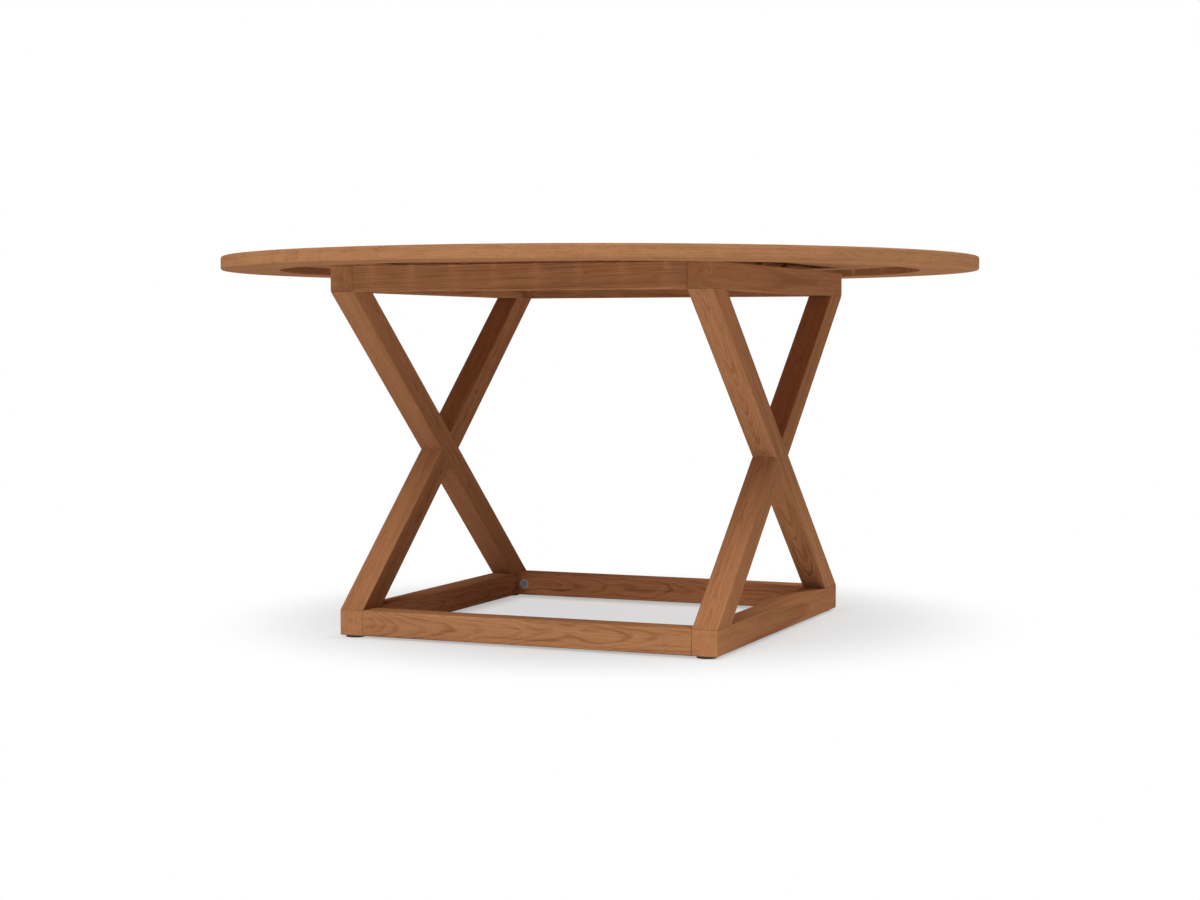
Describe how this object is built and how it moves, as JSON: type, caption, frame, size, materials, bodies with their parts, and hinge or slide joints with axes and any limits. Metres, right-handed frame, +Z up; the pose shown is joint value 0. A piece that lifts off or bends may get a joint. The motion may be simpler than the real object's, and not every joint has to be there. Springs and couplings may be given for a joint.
{
  "type": "sawbuck table",
  "caption": "Round slatted hardwood dining table on fixed side frames of crossed legs, joined by aprons and bottom rails, with levelling feet.",
  "frame": {"origin": "on the floor, under the middle of the round top", "axes": "+Z up, +Y from the front to the rear along the slats, +X to the right across the slats"},
  "size_m": [1.524, 1.524, 0.7465],
  "materials": {
    "top_hardwood": "oiled satin",
    "base_hardwood": "oiled satin",
    "beech": "raw",
    "zinc": "die-cast, dull",
    "zinc_plated_steel": "plated",
    "brass": "turned",
    "black_nylon": "moulded"
  },
  "bodies": {
    "table": {"rim_segment_1": "top_hardwood", "rim_segment_2": "top_hardwood", "rim_segment_3": "top_hardwood", "rim_segment_4": "top_hardwood", "rim_segment_5": "top_hardwood", "rim_segment_6": "top_hardwood", "rim_segment_7": "top_hardwood", "rim_segment_8": "top_hardwood", "slat_01": "top_hardwood", "slat_02": "top_hardwood", "slat_03": "top_hardwood", "slat_04": "top_hardwood", "slat_05": "top_hardwood", "slat_06": "top_hardwood", "slat_07": "top_hardwood", "slat_08": "top_hardwood", "slat_09": "top_hardwood", "slat_10": "top_hardwood", "slat_11": "top_hardwood", "slat_12": "top_hardwood", "slat_13": "top_hardwood", "slat_14": "top_hardwood", "slat_15": "top_hardwood", "front_batten": "base_hardwood", "middle_batten": "base_hardwood", "rear_batten": "base_hardwood", "left_top_rail": "base_hardwood", "right_top_rail": "base_hardwood", "left_bottom_rail": "base_hardwood", "right_bottom_rail": "base_hardwood", "left_leg_top_front": "base_hardwood", "left_leg_top_rear": "base_hardwood", "right_leg_top_front": "base_hardwood", "right_leg_top_rear": "base_hardwood", "front_apron": "base_hardwood", "rear_apron": "base_hardwood", "front_bottom_rail": "base_hardwood", "rear_bottom_rail": "base_hardwood", "rim_splines": "beech", "alignment_dowels": "beech", "connector_housings": "zinc", "batten_screws": "zinc_plated_steel", "connector_studs": "zinc_plated_steel", "foot_inserts": "brass"},
    "front_right_upper_cam": {"front_right_upper_cam": "zinc"},
    "front_left_upper_cam": {"front_left_upper_cam": "zinc"},
    "rear_left_upper_cam": {"rear_left_upper_cam": "zinc"},
    "rear_right_upper_cam": {"rear_right_upper_cam": "zinc"},
    "front_right_lower_cam": {"front_right_lower_cam": "zinc"},
    "front_left_lower_cam": {"front_left_lower_cam": "zinc"},
    "rear_left_lower_cam": {"rear_left_lower_cam": "zinc"},
    "rear_right_lower_cam": {"rear_right_lower_cam": "zinc"},
    "front_right_foot_pad": {"front_right_foot_pad": "black_nylon"},
    "front_left_foot_pad": {"front_left_foot_pad": "black_nylon"},
    "rear_left_foot_pad": {"rear_left_foot_pad": "black_nylon"},
    "rear_right_foot_pad": {"rear_right_foot_pad": "black_nylon"},
    "front_right_foot_stud": {"front_right_foot_stud": "zinc_plated_steel"},
    "front_left_foot_stud": {"front_left_foot_stud": "zinc_plated_steel"},
    "rear_left_foot_stud": {"rear_left_foot_stud": "zinc_plated_steel"},
    "rear_right_foot_stud": {"rear_right_foot_stud": "zinc_plated_steel"}
  },
  "joints": [
    {"name": "front_right_upper_cam_turn", "type": "hinge", "parent": "table", "child": "front_right_upper_cam", "pos_m": [0.3245, -0.3675, 0.70025], "axis": [0, 1, 0], "range_deg": [0, 180]},
    {"name": "front_left_upper_cam_turn", "type": "hinge", "parent": "table", "child": "front_left_upper_cam", "pos_m": [-0.3245, -0.3675, 0.70025], "axis": [0, 1, 0], "range_deg": [0, 180]},
    {"name": "rear_left_upper_cam_turn", "type": "hinge", "parent": "table", "child": "rear_left_upper_cam", "pos_m": [-0.3245, 0.3675, 0.70025], "axis": [0, -1, 0], "range_deg": [0, 180]},
    {"name": "rear_right_upper_cam_turn", "type": "hinge", "parent": "table", "child": "rear_right_upper_cam", "pos_m": [0.3245, 0.3675, 0.70025], "axis": [0, -1, 0], "range_deg": [0, 180]},
    {"name": "front_right_lower_cam_turn", "type": "hinge", "parent": "table", "child": "front_right_lower_cam", "pos_m": [0.3245, -0.3375, 0.03], "axis": [0, 1, 0], "range_deg": [0, 180]},
    {"name": "front_left_lower_cam_turn", "type": "hinge", "parent": "table", "child": "front_left_lower_cam", "pos_m": [-0.3245, -0.3375, 0.03], "axis": [0, 1, 0], "range_deg": [0, 180]},
    {"name": "rear_left_lower_cam_turn", "type": "hinge", "parent": "table", "child": "rear_left_lower_cam", "pos_m": [-0.3245, 0.3375, 0.03], "axis": [0, -1, 0], "range_deg": [0, 180]},
    {"name": "rear_right_lower_cam_turn", "type": "hinge", "parent": "table", "child": "rear_right_lower_cam", "pos_m": [0.3245, 0.3375, 0.03], "axis": [0, -1, 0], "range_deg": [0, 180]},
    {"name": "front_right_foot_slide", "type": "slide", "parent": "table", "child": "front_right_foot_pad", "axis": [0, 0, -1], "range_m": [0, 0.01]},
    {"name": "front_right_foot_stud_turn", "type": "hinge", "parent": "front_right_foot_pad", "child": "front_right_foot_stud", "pos_m": [0.362, -0.3625, 0.005], "axis": [0, 0, -1], "range_deg": [0, 2880.5]},
    {"name": "front_left_foot_slide", "type": "slide", "parent": "table", "child": "front_left_foot_pad", "axis": [0, 0, -1], "range_m": [0, 0.01]},
    {"name": "front_left_foot_stud_turn", "type": "hinge", "parent": "front_left_foot_pad", "child": "front_left_foot_stud", "pos_m": [-0.37, -0.3625, 0.005], "axis": [0, 0, -1], "range_deg": [0, 2880.5]},
    {"name": "rear_left_foot_slide", "type": "slide", "parent": "table", "child": "rear_left_foot_pad", "axis": [0, 0, -1], "range_m": [0, 0.01]},
    {"name": "rear_left_foot_stud_turn", "type": "hinge", "parent": "rear_left_foot_pad", "child": "rear_left_foot_stud", "pos_m": [-0.37, 0.3625, 0.005], "axis": [0, 0, -1], "range_deg": [0, 2880.5]},
    {"name": "rear_right_foot_slide", "type": "slide", "parent": "table", "child": "rear_right_foot_pad", "axis": [0, 0, -1], "range_m": [0, 0.01]},
    {"name": "rear_right_foot_stud_turn", "type": "hinge", "parent": "rear_right_foot_pad", "child": "rear_right_foot_stud", "pos_m": [0.362, 0.3625, 0.005], "axis": [0, 0, -1], "range_deg": [0, 2880.5]}
  ],
  "couplings": [
    {"joint": "front_right_foot_stud_turn", "follows": "front_right_foot_slide", "rad_per_m": 5026.5},
    {"joint": "front_left_foot_stud_turn", "follows": "front_left_foot_slide", "rad_per_m": 5026.5},
    {"joint": "rear_left_foot_stud_turn", "follows": "rear_left_foot_slide", "rad_per_m": 5026.5},
    {"joint": "rear_right_foot_stud_turn", "follows": "rear_right_foot_slide", "rad_per_m": 5026.5}
  ]
}
